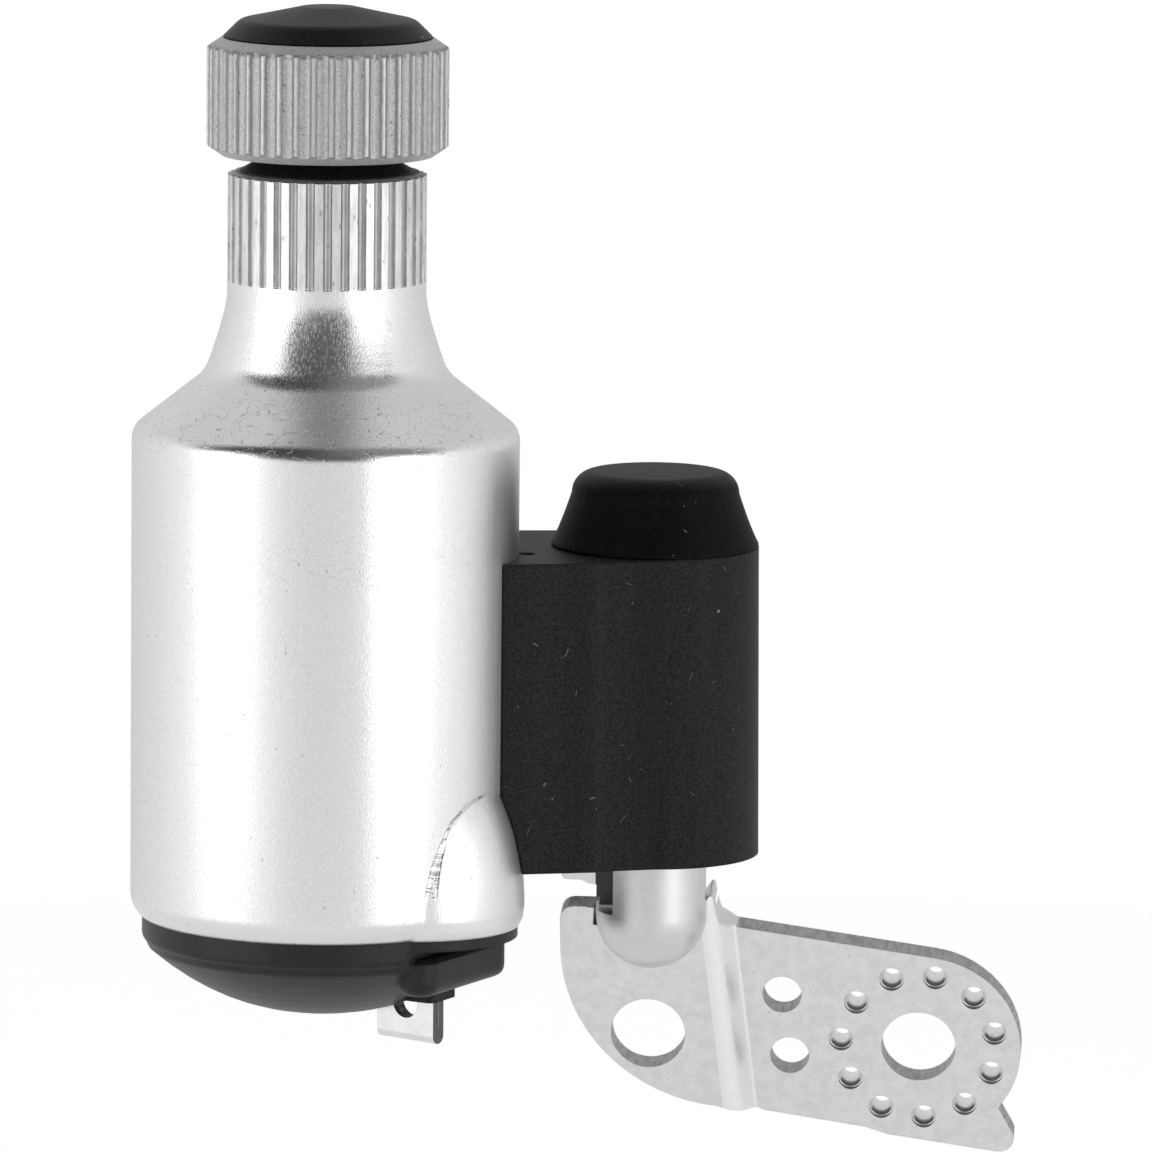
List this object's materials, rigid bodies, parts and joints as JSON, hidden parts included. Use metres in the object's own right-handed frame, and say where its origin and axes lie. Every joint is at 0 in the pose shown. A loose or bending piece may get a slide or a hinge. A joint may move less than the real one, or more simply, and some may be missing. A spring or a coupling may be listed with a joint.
{
  "type": "bottle dynamo",
  "caption": "Bottle dynamo for a bicycle lamp: aluminium can with a fluted drive roller, swinging on a stamped steel fork bracket with a release button.",
  "frame": {"origin": "centre of the fork bolt hole, on the front face of the bracket's arm", "axes": "+Z along the bottle from its terminal to its roller, +X along the bracket from the bottle to the fork bolt, +Y towards the tyre"},
  "size_m": [0.0961, 0.0445, 0.1274],
  "materials": {
    "zinc_plated_steel": "bright zinc plate",
    "spring_steel": "bright",
    "can_aluminium": "brushed",
    "roller_steel": "blasted, matt",
    "housing_plastic": "fine spark texture",
    "boot_rubber": "satin",
    "cap_plastic": "satin",
    "roller_cap_plastic": "satin",
    "carrier_plastic": "satin",
    "terminal_plastic": "satin",
    "terminal_metal": "tinned",
    "rivet_aluminium": "plain",
    "sintered_bronze": "oiled",
    "core_steel": "plain",
    "bobbin_plastic": "natural",
    "copper_wire": "enamelled",
    "contact_brass": "plain",
    "shaft_steel": "ground",
    "seal_rubber": "plain",
    "washer_plastic": "natural",
    "magnet_ferrite": "ground"
  },
  "bodies": {
    "bracket": {"bracket": "zinc_plated_steel", "tube_clip": "spring_steel"},
    "dynamo": {"bottle": "can_aluminium", "hinge_housing": "housing_plastic", "hinge_rivets": "rivet_aluminium", "lower_hinge_bush": "sintered_bronze", "upper_hinge_bush": "sintered_bronze", "swing_spring": "spring_steel", "button_guide": "carrier_plastic", "button_spring": "spring_steel", "button_boot": "boot_rubber", "neck_carrier": "carrier_plastic", "upper_bush": "sintered_bronze", "lower_plate": "core_steel", "lower_bush": "sintered_bronze", "yoke_ring": "core_steel", "upper_claw": "core_steel", "lower_claw": "core_steel", "bobbin": "bobbin_plastic", "winding": "copper_wire", "bottom_cap": "cap_plastic", "cap_gasket": "seal_rubber", "terminal_block": "terminal_plastic", "terminal": "terminal_metal", "contact_strip": "contact_brass"},
    "button": {"latch_plunger": "shaft_steel"},
    "rotor": {"shaft": "shaft_steel", "drive_roller": "roller_steel", "roller_cap": "roller_cap_plastic", "roller_nut": "shaft_steel", "thrust_washer": "washer_plastic", "magnet": "magnet_ferrite", "magnet_hub": "washer_plastic", "lower_washer": "washer_plastic", "shaft_clip": "spring_steel"}
  },
  "joints": [
    {"name": "swing", "type": "hinge", "parent": "bracket", "child": "dynamo", "pos_m": [-0.0291, -0.0073, 0.0167], "axis": [0, 0, -1], "range_deg": [0, 25]},
    {"name": "roller_spin", "type": "hinge", "parent": "dynamo", "child": "rotor", "pos_m": [-0.06391, -0.01794, 0.09926], "axis": [0, 0, 1], "continuous": true},
    {"name": "button_press", "type": "slide", "parent": "dynamo", "child": "button", "axis": [0, 0, -1], "range_m": [0, 0.0025], "stiffness_N_per_m": 900, "springref_m": -0.002, "deforming": ["button_spring", "button_boot"]}
  ]
}
